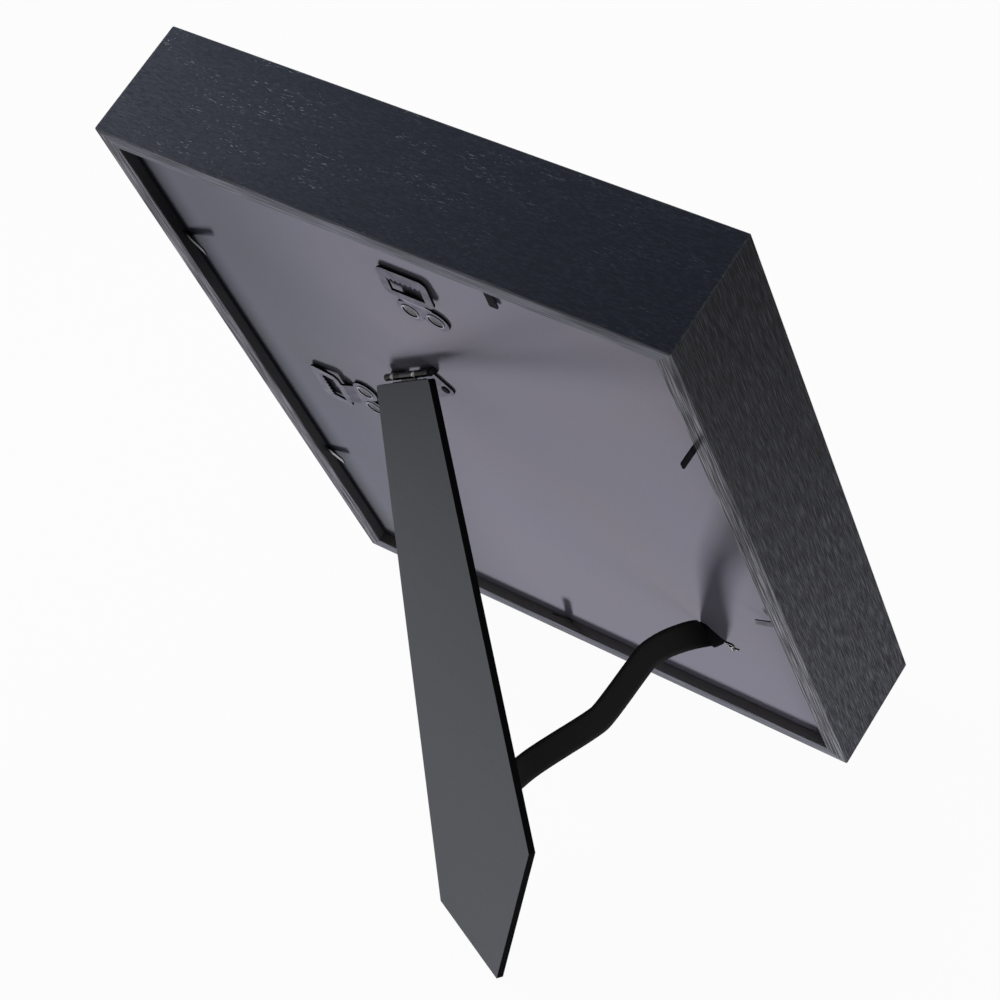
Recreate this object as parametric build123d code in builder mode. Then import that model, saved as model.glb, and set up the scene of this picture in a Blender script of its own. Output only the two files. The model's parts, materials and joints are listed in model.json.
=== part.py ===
from build123d import *
import os
from math import atan2, cos, degrees, radians, sin

# An easel back photo frame: a deep wooden box frame for a picture, seen from behind with its strut open.
# Millimetres. The pieces are drawn in the frame's own axes, as if it stood upright: X across, Y from the
# front to the back, Z up, with zero at the back lower edge. Each finished piece is then leaned back into
# its standing pose. Left and right are as seen from the front, so the hinge is on the right.

# Picture and sheets
picture_width = 203.2
picture_height = 254.0
fit_gap = 0.9
glass_thickness = 2.0
mat_thickness = 1.5
print_thickness = 0.5
panel_thickness = 2.5
mat_window_width = 122.0
mat_window_height = 172.0

# Rails
frame_depth = 44.0
rail_wall = 7.0
lip_overlap = 7.0
lip_thickness = 6.0
edge_ease = 0.5
panel_recess = 3.5
spacer_thickness = 4.0

# Strut hinge, placed from the middle of the panel as seen from behind
hinge_right = -20.3
hinge_up = 43.4
hinge_turn_angle = 36.5
axis_height = 2.4
barrel_length = 32.0
barrel_radius = 1.3
pin_radius = 0.8
running_gap = 0.05
knuckle_gap = 0.3
pin_end = 0.3
knuckle_count = 3
leaf_thickness = 0.7
leaf_length = 13.6
leaf_width = 23.6
leaf_corner = 3.0
leaf_clear = 0.4
leaf_rivet_spacing = 16.8
leaf_rivet_down = 10.6
leaf_rivet_radius = 1.0
leaf_rivet_head = 1.7
leaf_rivet_dome = 0.4
blind_rivet_spacing = 8.0
blind_rivet_down = 7.5
blind_rivet_depth = 1.6

# Strut
strut_thickness = 2.5
strut_lift = 0.3
strut_top = 2.0
strut_top_width = 38.0
strut_taper_share = 0.0977
strut_tip_down = 202.7
strut_tip_across = -3.6
strut_corner = 1.2
opening_angle = 42.3

# Ribbon between the panel and the strut, both ends at one distance from the hinge
ribbon_width = 10.0
ribbon_thickness = 0.5
ribbon_down = 146.0
ribbon_across = 1.0
ribbon_gap = 0.3
ribbon_tail = 12.0
slit_length = 11.4
slit_width = 1.0
staple_wire = 0.7
staple_span = 7.0
staple_depth = 2.0

# Bendable retaining tabs
tab_length = 12.0
tab_width = 3.4
tab_thickness = 0.5
tab_root_depth = 5.0
tab_root_height = 0.55
tab_root_gap = 0.4
tab_corner = 0.7

# Hangers
hanger_stock = 0.8
eye_spacing = 10.0
eye_lobe = 5.0
eye_tube = 2.9
eye_flange = 3.3
eye_flange_height = 0.25
eye_bore = 2.5
eye_depth = 0.75
neck_width = 11.0
neck_start = 5.5
neck_end = 9.2
hump_height = 1.3
loop_width = 19.6
loop_start = 10.0
loop_end = 23.2
loop_drop = 0.2
loop_corner = 2.6
slot_width = 13.2
slot_start = 12.3
slot_end = 18.8
tooth_size = 1.05
tooth_count = 7
portrait_hanger_right = 2.7
portrait_hanger_drop = 37.9
landscape_hanger_inset = 47.4
landscape_hanger_up = 4.1

overrun = 5.0

# Sizes worked out from those above
frame_width = picture_width + 2 * fit_gap + 2 * rail_wall
frame_height = picture_height + 2 * fit_gap + 2 * rail_wall
face_width = rail_wall + lip_overlap
rebate_depth = frame_depth - lip_thickness
print_front = panel_recess + panel_thickness + print_thickness
mat_front = print_front + mat_thickness
glass_back = rebate_depth - glass_thickness
spacer_depth = glass_back - mat_front
middle_up = frame_height / 2
knuckle_pitch = barrel_length / knuckle_count
ribbon_chord = 2 * ribbon_down * sin(radians(opening_angle / 2))


def on(plane, right=0, up=0, out=0, turn=0, tilt=0):
    """A plane set on another one, moved in its axes, turned about its normal and then tilted about its x."""
    place = plane.location * Location((right, up, out), (0, 0, turn)) * Location((0, 0, 0), (tilt, 0, 0))
    return Plane(place)


# The panel's outer face as seen from behind: x to the right, y up, z out of the back
panel_face = Plane(origin=(0, -panel_recess, middle_up), x_dir=(-1, 0, 0), z_dir=(0, 1, 0))
back_face = Plane(origin=(0, 0, middle_up), x_dir=(-1, 0, 0), z_dir=(0, 1, 0))

# The hinge's own plane on the panel: x along the pin, -y towards the strut's foot
hinge_face = on(panel_face, hinge_right, hinge_up, turn=hinge_turn_angle)
pin_plane = on(hinge_face, out=axis_height)
strut_plane = on(pin_plane, tilt=-opening_angle)

# The strut's tip meets the table on its inner face, level with the rail's eased lower edge
strut_inner = strut_lift
strut_outer = strut_lift + strut_thickness
tip_inner = strut_plane.from_local_coords((strut_tip_across, -strut_tip_down, strut_inner))
tip_outer = strut_plane.from_local_coords((strut_tip_across, -strut_tip_down, strut_outer))
lean = degrees(atan2(tip_inner.Z, tip_inner.Y + edge_ease))
side_lean = degrees(atan2(frame_width / 2 + tip_inner.X, tip_inner.Y + edge_ease))

# Standing pose: leaned back about the lower edge, with zero under the middle of the whole object
lean_cos = cos(radians(lean))
lean_sin = sin(radians(lean))
reach_back = (tip_outer.Y + edge_ease) * lean_cos + tip_outer.Z * lean_sin
reach_front = (edge_ease - frame_depth) * lean_cos + edge_ease * lean_sin
standing = (
    Location((0, -(reach_back + reach_front) / 2, 0))
    * Location((0, 0, 0), (-lean, 0, 0))
    * Location((0, edge_ease, 0))
)

os.makedirs("parts", exist_ok=True)


def hand_over(builder, node):
    """Lean a finished piece into the standing pose, label it and write it."""
    piece = builder.part.moved(standing)
    piece.label = node
    export_step(piece, f"parts/{node}.step")


# Retaining tabs: the wall each stands on, its place along that wall, how much of it stands out of the wall
# and how far it is bent up. Each place is a share of the panel's half width or half height, from the middle.
half_width = frame_width / 2 - rail_wall
half_height = frame_height / 2 - rail_wall
tab_place_shares = {
    "upper_right_tab": ("right", 0.609, 1.0),
    "lower_right_tab": ("right", -0.476, 0.8),
    "upper_left_tab": ("left", 0.62, 0.78),
    "lower_left_tab": ("left", -0.297, 0.68),
    "top_tab": ("top", 0.39, 1.0),
    "bottom_tab": ("bottom", -0.122, 1.0),
}
tab_angles = {
    "upper_right_tab": 17.0,
    "lower_right_tab": 12.0,
    "upper_left_tab": 88.0,
    "lower_left_tab": 16.0,
    "top_tab": 2.0,
    "bottom_tab": 19.0,
}


def tab_wall(node):
    """The plane at a tab's root: x inwards from the rail's wall, y along the wall, z out of the back."""
    wall, share, reach = tab_place_shares[node]
    if wall == "right":
        return on(panel_face, -half_width, share * half_height, tab_root_height)
    if wall == "left":
        return on(panel_face, half_width, share * half_height, tab_root_height, turn=180)
    if wall == "top":
        return on(panel_face, share * half_width, half_height, tab_root_height, turn=-90)
    return on(panel_face, share * half_width, -half_height, tab_root_height, turn=90)


def tab_plane(node):
    """The plane a tab's blade lies in, bent up about its root."""
    root = tab_wall(node)
    bend = Location((tab_root_gap, 0, 0), (0, -tab_angles[node], 0))
    return Plane(root.location * bend)


# Rails: an L section run along each side, mitred at both ends, with a pocket for each tab's root.
# A side's plane has x along the rail, y inwards and z towards the back.
side_planes = {
    "top": Plane(origin=(0, 0, frame_height), x_dir=(1, 0, 0), z_dir=(0, 1, 0)),
    "bottom": Plane(origin=(0, 0, 0), x_dir=(-1, 0, 0), z_dir=(0, 1, 0)),
    "right": Plane(origin=(frame_width / 2, 0, middle_up), x_dir=(0, 0, -1), z_dir=(0, 1, 0)),
    "left": Plane(origin=(-frame_width / 2, 0, middle_up), x_dir=(0, 0, 1), z_dir=(0, 1, 0)),
}
side_lengths = {"top": frame_width, "bottom": frame_width, "right": frame_height, "left": frame_height}

for name, side in side_planes.items():
    length = side_lengths[name]
    across = Plane(origin=side.origin, x_dir=side.y_dir, z_dir=side.x_dir)
    with BuildPart() as rail:
        with BuildSketch(across):
            with BuildLine():
                Polyline(
                    (0, -edge_ease),
                    (edge_ease, 0),
                    (rail_wall, 0),
                    (rail_wall, -rebate_depth),
                    (face_width, -rebate_depth),
                    (face_width, edge_ease - frame_depth),
                    (face_width - edge_ease, -frame_depth),
                    (edge_ease, -frame_depth),
                    (0, edge_ease - frame_depth),
                    close=True,
                )
            make_face()
        extrude(amount=length / 2, both=True)
        for end in (1, -1):
            corner = side.from_local_coords((end * length / 2, 0, 0))
            split(bisect_by=Plane(origin=corner, z_dir=side.x_dir * end + side.y_dir), keep=Keep.BOTTOM)
        for node, (wall, share, reach) in tab_place_shares.items():
            if wall == name:
                with Locations(tab_wall(node).location * Location((-tab_root_depth / 2, 0, 0))):
                    Box(tab_root_depth, tab_width, tab_thickness, mode=Mode.SUBTRACT)
    hand_over(rail, f"{name}_rail")

with BuildPart() as tab_roots:
    for node in tab_place_shares:
        with Locations(tab_wall(node).location * Location((-tab_root_depth / 2, 0, 0))):
            Box(tab_root_depth, tab_width, tab_thickness)
hand_over(tab_roots, "tab_roots")

for node, (wall, share, reach) in tab_place_shares.items():
    blade = tab_plane(node)
    with BuildPart() as tab:
        with BuildSketch(on(blade, out=-tab_thickness / 2)):
            Rectangle(reach * tab_length, tab_width, align=(Align.MIN, Align.CENTER))
            tips = vertices().group_by(Axis.X)[-1]
            fillet(tips, radius=tab_corner)
        extrude(amount=tab_thickness)
        with BuildSketch(Plane(origin=blade.origin, x_dir=blade.x_dir, z_dir=blade.y_dir)):
            Circle(tab_thickness / 2)
        extrude(amount=tab_width / 2, both=True)
    hand_over(tab, node)

# Glass against the front lip
with BuildPart(on(back_face, out=-rebate_depth)) as glass:
    Box(picture_width, picture_height, glass_thickness, align=(Align.CENTER, Align.CENTER, Align.MIN))
hand_over(glass, "glass")

# Spacer strips that hold the glass and the mat apart
spacer_face = on(back_face, out=-glass_back)
spacer_sizes = {
    "top_spacer": (0, picture_height / 2 - spacer_thickness / 2, picture_width, spacer_thickness),
    "bottom_spacer": (0, spacer_thickness / 2 - picture_height / 2, picture_width, spacer_thickness),
    "right_spacer": (
        spacer_thickness / 2 - picture_width / 2, 0, spacer_thickness, picture_height - 2 * spacer_thickness,
    ),
    "left_spacer": (
        picture_width / 2 - spacer_thickness / 2, 0, spacer_thickness, picture_height - 2 * spacer_thickness,
    ),
}
for node, (right, up, width, height) in spacer_sizes.items():
    with BuildPart(on(spacer_face, right, up)) as spacer:
        Box(width, height, spacer_depth, align=(Align.CENTER, Align.CENTER, Align.MIN))
    hand_over(spacer, node)

# Mat with its window, and the print behind it
with BuildPart() as mat:
    with BuildSketch(on(back_face, out=-mat_front)):
        Rectangle(picture_width, picture_height)
        Rectangle(mat_window_width, mat_window_height, mode=Mode.SUBTRACT)
    extrude(amount=mat_thickness)
hand_over(mat, "mat_board")

with BuildPart(on(back_face, out=-print_front)) as picture:
    Box(picture_width, picture_height, print_thickness, align=(Align.CENTER, Align.CENTER, Align.MIN))
hand_over(picture, "print_sheet")

# Hangers: each lies with its slot towards the edge that is up when it is used
hanger_planes = {
    "portrait_hanger": on(panel_face, portrait_hanger_right, picture_height / 2 - portrait_hanger_drop),
    "landscape_hanger": on(
        panel_face, landscape_hanger_inset - picture_width / 2, landscape_hanger_up, turn=90,
    ),
}
eye_places = [
    plane.location * Location((across, 0, 0))
    for plane in hanger_planes.values()
    for across in (-eye_spacing / 2, eye_spacing / 2)
]

# Back panel with the holes for the eyelets and rivets, and the ribbon's slit along the strut's line
rivet_places = [
    hinge_face.location * Location((across, -leaf_rivet_down, 0))
    for across in (-leaf_rivet_spacing / 2, leaf_rivet_spacing / 2)
]
with BuildPart() as panel:
    with BuildSketch(panel_face):
        Rectangle(picture_width, picture_height)
    extrude(amount=-panel_thickness)
    with Locations(*eye_places):
        Hole(eye_tube + running_gap, depth=panel_thickness)
    with Locations(*rivet_places):
        Hole(leaf_rivet_radius + running_gap, depth=panel_thickness)
    with BuildSketch(on(hinge_face, ribbon_across, -ribbon_down)):
        SlotOverall(slit_length, slit_width, rotation=90)
    extrude(amount=-panel_thickness, mode=Mode.SUBTRACT)
hand_over(panel, "back_panel")

# A hanger is cut flat, with a toothed slot, and pressed: plate on the panel, steep neck, sloping loop
for node, place in hanger_planes.items():
    with BuildPart() as hanger:
        with BuildSketch(place):
            with GridLocations(eye_spacing, 0, 2, 1):
                Circle(eye_lobe)
            with Locations((0, neck_end / 2)):
                Rectangle(neck_width, neck_end)
            with Locations((0, (neck_end + loop_start) / 2)):
                Rectangle(neck_width, loop_start - neck_start)
            with Locations((0, (loop_start + loop_end) / 2)):
                RectangleRounded(loop_width, loop_end - loop_start, loop_corner)
            with Locations((0, (slot_start + slot_end) / 2)):
                Rectangle(slot_width, slot_end - slot_start, mode=Mode.SUBTRACT)
            with Locations((0, slot_end)):
                with GridLocations(slot_width / tooth_count, 0, tooth_count, 1):
                    RegularPolygon(tooth_size, 3, rotation=-90)
            with GridLocations(eye_spacing, 0, 2, 1):
                Circle(eye_tube + running_gap, mode=Mode.SUBTRACT)
        extrude(amount=hump_height + hanger_stock)
        with BuildSketch(Plane(origin=place.origin, x_dir=place.y_dir, z_dir=place.x_dir)):
            with BuildLine():
                Polyline(
                    (-eye_lobe - overrun, 0),
                    (neck_start, 0),
                    (neck_end, hump_height),
                    (loop_end + overrun, loop_drop),
                    (loop_end + overrun, loop_drop + hanger_stock),
                    (neck_end, hump_height + hanger_stock),
                    (neck_start, hanger_stock),
                    (-eye_lobe - overrun, hanger_stock),
                    close=True,
                )
            make_face()
        extrude(amount=loop_width, both=True, mode=Mode.INTERSECT)
    hand_over(hanger, node)

# Eyelets that hold the hangers: a flat rim on the plate, a shank through the panel and a round recess
with BuildPart() as eyelets:
    with Locations(*[place * Location((0, 0, hanger_stock)) for place in eye_places]):
        Cylinder(eye_flange, eye_flange_height, align=(Align.CENTER, Align.CENTER, Align.MIN))
        Cylinder(eye_tube, panel_thickness + hanger_stock, align=(Align.CENTER, Align.CENTER, Align.MAX))
    with Locations(*[place * Location((0, 0, hanger_stock + eye_flange_height)) for place in eye_places]):
        CounterSinkHole(eye_bore, eye_tube, depth=eye_depth)
hand_over(eyelets, "hanger_eyelets")


def knuckle_start(index):
    """Where a hinge knuckle starts along the pin, with half the gap left at its end."""
    return index * knuckle_pitch - barrel_length / 2 + knuckle_gap / 2


def make_leaf(plane, low, knuckles, rivet_spacing, rivet_down):
    """A hinge leaf whose plane has its origin and x on the pin, with the plate's lower face at low."""
    plate_start = barrel_radius + leaf_clear
    with BuildPart() as leaf:
        with BuildSketch(on(plane, out=low)):
            with Locations((0, -(plate_start + leaf_length) / 2)):
                Rectangle(leaf_width, leaf_length - plate_start)
            feet = vertices().group_by(Axis.Y)[0]
            fillet(feet, radius=leaf_corner)
            for index in knuckles:
                with Locations((knuckle_start(index), 0)):
                    Rectangle(
                        knuckle_pitch - knuckle_gap, plate_start + leaf_clear, align=(Align.MIN, Align.MAX),
                    )
            with Locations((0, -rivet_down)):
                with GridLocations(rivet_spacing, 0, 2, 1):
                    Circle(leaf_rivet_radius + running_gap, mode=Mode.SUBTRACT)
        extrude(amount=leaf_thickness)
        for index in knuckles:
            start = plane.from_local_coords((knuckle_start(index), 0, 0))
            with BuildSketch(Plane(origin=start, x_dir=plane.y_dir, z_dir=plane.x_dir)):
                Circle(barrel_radius)
                with BuildLine():
                    Polyline(
                        (-plate_start - leaf_clear, low),
                        (-plate_start - leaf_clear, low + leaf_thickness),
                        (-barrel_radius, 0),
                        (0, 0),
                        (0, -barrel_radius),
                        (-barrel_radius / 2, low),
                        close=True,
                    )
                make_face()
            extrude(amount=knuckle_pitch - knuckle_gap)
        with BuildSketch(Plane(origin=plane.origin, x_dir=plane.y_dir, z_dir=plane.x_dir)):
            Circle(pin_radius + running_gap)
        extrude(amount=barrel_length, both=True, mode=Mode.SUBTRACT)
    return leaf


# Hinge: one leaf riveted to the panel, one to the strut's inner face, and the pin through both
fixed_leaf = make_leaf(
    pin_plane, -axis_height, range(0, knuckle_count, 2), leaf_rivet_spacing, leaf_rivet_down,
)
hand_over(fixed_leaf, "hinge_fixed_leaf")

moving_leaf = make_leaf(
    strut_plane, strut_lift - leaf_thickness, range(1, knuckle_count, 2), blind_rivet_spacing, blind_rivet_down,
)
hand_over(moving_leaf, "hinge_moving_leaf")

with BuildPart() as pin:
    with BuildSketch(Plane(origin=pin_plane.origin, x_dir=pin_plane.y_dir, z_dir=pin_plane.x_dir)):
        Circle(pin_radius)
    extrude(amount=barrel_length / 2 + pin_end, both=True)
hand_over(pin, "hinge_pin")

with BuildPart() as panel_rivets:
    with Locations(*[place * Location((0, 0, leaf_thickness)) for place in rivet_places]):
        Cylinder(leaf_rivet_head, leaf_rivet_dome, align=(Align.CENTER, Align.CENTER, Align.MIN))
    crowns = edges().filter_by(GeomType.CIRCLE).group_by(Axis(hinge_face.origin, hinge_face.z_dir))[-1]
    fillet(crowns, radius=leaf_rivet_dome - running_gap)
    with Locations(*[place * Location((0, 0, leaf_thickness)) for place in rivet_places]):
        Cylinder(
            leaf_rivet_radius, panel_thickness + leaf_thickness, align=(Align.CENTER, Align.CENTER, Align.MAX),
        )
hand_over(panel_rivets, "panel_leaf_rivets")

blind_places = [
    strut_plane.location * Location((across, -blind_rivet_down, strut_lift - leaf_thickness))
    for across in (-blind_rivet_spacing / 2, blind_rivet_spacing / 2)
]
with BuildPart() as strut_rivets:
    with Locations(*blind_places):
        Cylinder(leaf_rivet_head, leaf_rivet_dome, align=(Align.CENTER, Align.CENTER, Align.MAX))
        Cylinder(
            leaf_rivet_radius, leaf_thickness + blind_rivet_depth,
            align=(Align.CENTER, Align.CENTER, Align.MIN),
        )
hand_over(strut_rivets, "strut_leaf_rivets")

# Strut: a tapered board whose two end cuts lie along the table, one for each way of standing
portrait_floor = Vector(0, -sin(radians(lean)), cos(radians(lean)))
landscape_floor = Vector(cos(radians(side_lean)), -sin(radians(side_lean)), 0)


def cut_shoulder(floor, side):
    """Where the end cut for one floor, run from the tip, meets the strut's left (-1) or right (1) edge."""
    run = floor.cross(strut_plane.z_dir)
    run_x = run.dot(strut_plane.x_dir)
    run_y = run.dot(strut_plane.y_dir)
    edge_x = side * (strut_top_width / 2 + strut_taper_share * strut_tip_down)
    reach = (edge_x - strut_tip_across) / (run_x + side * strut_taper_share * run_y)
    return (strut_tip_across + run_x * reach, run_y * reach - strut_tip_down)


# The ribbon's end lies glued on the strut's inner face, with a staple through it into the board
tail_inner = strut_inner - ribbon_thickness
tail_place = on(strut_plane, ribbon_across, -ribbon_down, tail_inner)
staple_legs = [
    tail_place.location * Location((ribbon_tail / 2, across, 0))
    for across in (staple_wire / 2 - staple_span / 2, staple_span / 2 - staple_wire / 2)
]

strut_shoulder_left = cut_shoulder(portrait_floor, -1)
strut_shoulder_right = cut_shoulder(landscape_floor, 1)
top_half = strut_top_width / 2 + strut_taper_share * strut_top
with BuildPart() as strut:
    with BuildSketch(on(strut_plane, out=strut_inner)):
        with BuildLine():
            Polyline(
                (-top_half, -strut_top),
                (top_half, -strut_top),
                strut_shoulder_right,
                (strut_tip_across, -strut_tip_down),
                strut_shoulder_left,
                close=True,
            )
        make_face()
        fillet(vertices().group_by(Axis.Y)[-1], radius=strut_corner)
    extrude(amount=strut_thickness)
    with Locations(*blind_places):
        Cylinder(
            leaf_rivet_radius + running_gap, leaf_thickness + blind_rivet_depth + running_gap,
            align=(Align.CENTER, Align.CENTER, Align.MIN), mode=Mode.SUBTRACT,
        )
    with Locations(*staple_legs):
        Box(
            staple_wire, staple_wire, staple_depth,
            align=(Align.CENTER, Align.CENTER, Align.MIN), mode=Mode.SUBTRACT,
        )
hand_over(strut, "strut")

# Ribbon: a strip on edge, a little slack, in a flat curve between the slit and the strut's inner face.
# Its course is given as shares of the straight distance, sideways and then on from the panel.
ribbon_course_shares = [
    (0.0, -0.06),
    (0.0, 0.02),
    (-0.048, 0.2),
    (-0.024, 0.55),
    (-0.026, 0.8),
    (0.0, 1.1),
]
ribbon_bend_shares = [0.05, 0.25, 0.5, 0.3]
half_open = opening_angle / 2
middle_plane = on(pin_plane, tilt=-half_open)
course_start = middle_plane.from_local_coords((
    ribbon_across,
    axis_height * sin(radians(half_open)) - ribbon_down * cos(radians(half_open)),
    -axis_height * cos(radians(half_open)) - ribbon_down * sin(radians(half_open)),
))
course_plane = Plane(origin=course_start, x_dir=middle_plane.x_dir, z_dir=-middle_plane.y_dir)
with BuildPart() as ribbon:
    with BuildSketch(on(course_plane, out=-ribbon_width / 2)):
        with BuildLine() as course:
            FilletPolyline(
                *[(ribbon_chord * across, ribbon_chord * along) for across, along in ribbon_course_shares],
                radius=[ribbon_chord * bend for bend in ribbon_bend_shares],
            )
        trace(line_width=ribbon_thickness)
    extrude(amount=ribbon_width)
    split(bisect_by=panel_face, keep=Keep.TOP)
    split(bisect_by=on(strut_plane, out=tail_inner - ribbon_gap), keep=Keep.BOTTOM)
hand_over(ribbon, "ribbon")

with BuildPart() as ribbon_end:
    with BuildSketch(tail_place):
        Rectangle(ribbon_tail, ribbon_width, align=(Align.MIN, Align.CENTER))
    extrude(amount=ribbon_thickness)
    with Locations(*staple_legs):
        Box(
            staple_wire, staple_wire, staple_depth,
            align=(Align.CENTER, Align.CENTER, Align.MIN), mode=Mode.SUBTRACT,
        )
hand_over(ribbon_end, "ribbon_strut_end")

with BuildPart() as staple:
    with BuildSketch(tail_place):
        with Locations((ribbon_tail / 2, 0)):
            Rectangle(staple_wire, staple_span)
    extrude(amount=-staple_wire)
    with Locations(*staple_legs):
        Box(staple_wire, staple_wire, staple_depth, align=(Align.CENTER, Align.CENTER, Align.MIN))
hand_over(staple, "ribbon_staple")


def show(name, point, direction):
    """Print a place and a direction in the standing pose, in metres."""
    mm = 0.001
    at = (standing * Location(point)).position * mm
    far = (standing * Location(point + direction)).position * mm
    way = (far - at) * (1 / mm)
    print(name, [round(value, 6) for value in at], [round(value, 6) for value in way])


print("lean", round(lean, 3), "side lean", round(side_lean, 3))
show("strut_hinge", pin_plane.origin, -pin_plane.x_dir)
for node in tab_place_shares:
    show(node, tab_plane(node).origin, -tab_plane(node).y_dir)
for node, place in hanger_planes.items():
    slot_middle = place.from_local_coords((0, (slot_start + slot_end) / 2, hump_height))
    show(node, slot_middle, place.z_dir)
show("back_rim", Vector(0, 0, frame_height - rail_wall / 2), Vector(0, 1, 0))
show("base", Vector(0, -frame_depth / 2, 0), Vector(0, 0, -1))
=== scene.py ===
# %% [markdown]
# # A photo frame on its easel strut
# The object is a deep black wooden frame, seen from behind. A hinged strut holds it up, and a slack ribbon
# keeps the strut from sliding away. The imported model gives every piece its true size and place. This lesson
# dresses those pieces: wood with open pores, grey board, dark stamped steel and a satin ribbon.

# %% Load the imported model
import json
import math

import bmesh
import bpy
import numpy as np
from mathutils import Matrix, Vector


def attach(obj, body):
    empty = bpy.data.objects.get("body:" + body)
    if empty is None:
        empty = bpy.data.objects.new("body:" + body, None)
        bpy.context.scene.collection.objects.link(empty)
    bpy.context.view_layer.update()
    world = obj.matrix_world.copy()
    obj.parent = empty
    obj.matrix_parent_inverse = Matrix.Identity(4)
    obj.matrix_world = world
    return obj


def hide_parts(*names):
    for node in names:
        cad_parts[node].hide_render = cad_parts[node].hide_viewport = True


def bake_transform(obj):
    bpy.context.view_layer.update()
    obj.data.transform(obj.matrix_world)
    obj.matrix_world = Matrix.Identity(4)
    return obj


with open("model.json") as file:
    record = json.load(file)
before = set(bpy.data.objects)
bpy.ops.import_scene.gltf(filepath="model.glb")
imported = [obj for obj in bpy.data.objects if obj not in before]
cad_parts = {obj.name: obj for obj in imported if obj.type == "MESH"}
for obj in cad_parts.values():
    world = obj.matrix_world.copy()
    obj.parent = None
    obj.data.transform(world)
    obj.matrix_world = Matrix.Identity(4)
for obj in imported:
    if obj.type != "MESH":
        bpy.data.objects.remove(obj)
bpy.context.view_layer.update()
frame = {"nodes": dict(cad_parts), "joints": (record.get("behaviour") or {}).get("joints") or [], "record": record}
nodes = frame["nodes"]
record = frame["record"]

# %% [markdown]
# ## The leaning frame's own axes
# The frame leans back, so nothing on it lies along X, Y or Z. It helps to work in the frame's own axes: across,
# out of the back, and up along the back. The record already knows them, because the back rim is a mount with a
# place and a direction. The rails below are placed with `stand`, so no angle is typed twice.

# %% Axes of the leaning frame
FRAME_WIDTH, FRAME_HEIGHT, FRAME_DEPTH = 0.2190, 0.2698, 0.0440
RIM_WIDTH = 0.0070
mounts = {mount["name"]: mount for mount in record["mounts"]}
back_out = Vector(mounts["back_rim"]["axis"])
lean = math.atan2(-back_out.z, back_out.y)
back_up = Vector((0, math.sin(lean), math.cos(lean)))
back_corner = Vector(mounts["back_rim"]["pos_m"]) - back_up * (FRAME_HEIGHT - RIM_WIDTH / 2)


def stand(across, out, up):
    """A point of the leaning frame: across in X, out of the back from the rim, and up from the lower edge."""
    return back_corner + Vector((across, 0, 0)) + back_out * out + back_up * up


print("lean", round(math.degrees(lean), 2), "degrees")

# %% [markdown]
# ## Axes of the hinge and the strut
# The strut's hinge sits askew on the panel. Its joint in the record gives the pin's middle and direction. From
# these come the line the strut folds along, and the direction out of the strut's outer face at rest.

# %% Axes of the strut
hinge = next(joint for joint in frame["joints"] if joint["name"] == "strut_hinge")
pin_middle = Vector(hinge["pos_m"])
pin_way = -Vector(hinge["axis"]).normalized()
fold_way = pin_way.cross(back_out).normalized()
rest_opening = math.radians(-hinge["range_deg"][0])


def swing(angle):
    """The direction down a strut that is open by this angle from the panel."""
    return fold_way * math.cos(angle) + back_out * math.sin(angle)


strut_out = pin_way.cross(swing(rest_opening)).normalized()
if strut_out.dot(back_out) < 0:
    strut_out = -strut_out
print("strut opens", round(math.degrees(rest_opening), 1), "degrees")

# %% [markdown]
# ## Camera
# The photograph looks down on the back from the upper left. The camera's place and its two image directions were
# worked out from the frame's corners in the picture. A long lens keeps the perspective mild.

# %% Camera
EYE = Vector((-0.446831, 0.528004, 0.697657))
IMAGE_RIGHT = Vector((-0.797241, -0.600481, -0.061883))
IMAGE_UP = Vector((0.351993, -0.545701, 0.760467))
LENS, SENSOR, NEAREST = 96.442, 36.0, 0.01

camera_data = bpy.data.cameras.new("camera")
camera_data.lens = LENS
camera_data.sensor_width = SENSOR
camera_data.clip_start = NEAREST
camera = bpy.data.objects.new("camera", camera_data)
image_back = IMAGE_RIGHT.cross(IMAGE_UP).normalized()
turned = Matrix((IMAGE_RIGHT, IMAGE_UP, image_back)).transposed().to_4x4()
camera.matrix_world = Matrix.Translation(EYE) @ turned
bpy.context.scene.collection.objects.link(camera)
bpy.context.scene.camera = camera
print("camera at", tuple(round(v, 3) for v in EYE))

# %% [markdown]
# ## Helpers for shader nodes
# A material is a graph of nodes. It could be drawn in the shader editor, but written down it can be read, repeated
# and corrected. `put` adds one node, sets its options, fills its inputs with values or with other nodes' outputs,
# and returns the node's own outputs. The others are short names for the nodes that come up most often.

# %% One node at a time


def fill(tree, socket, value):
    """Give an input a value, or link another node's output to it."""
    if isinstance(value, bpy.types.NodeSocket):
        tree.links.new(value, socket)
    else:
        socket.default_value = value


def put(tree, kind, values=None, **settings):
    """Add a node, set its options, fill its inputs, and return its outputs."""
    made = tree.nodes.new(kind)
    for key, value in settings.items():
        setattr(made, key, value)
    for key, value in (values or {}).items():
        fill(tree, made.inputs[key], value)
    return made.outputs


print("helpers fill and put")

# %% Short names for common nodes


def maths(tree, operation, first, second=0.0):
    """One Math node's result."""
    return put(tree, "ShaderNodeMath", {0: first, 1: second}, operation=operation)[0]


def vectors(tree, operation, first, second):
    """One Vector Math node's result, which is a number for a dot product or a distance."""
    result = "Value" if operation in ("DOT_PRODUCT", "DISTANCE") else "Vector"
    return put(tree, "ShaderNodeVectorMath", {0: first, 1: second}, operation=operation)[result]


def ramp(tree, value, low, high, first=0.0, last=1.0):
    """A smooth step from first to last while value goes from low to high."""
    values = {"Value": value, "From Min": low, "From Max": high, "To Min": first, "To Max": last}
    return put(tree, "ShaderNodeMapRange", values, interpolation_type="SMOOTHSTEP")["Result"]


def noise(tree, vector, scale=1.0, detail=3.0, roughness=0.6):
    """A noise texture's value."""
    values = {"Vector": vector, "Scale": scale, "Detail": detail, "Roughness": roughness}
    return put(tree, "ShaderNodeTexNoise", values)["Fac"]


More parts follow.
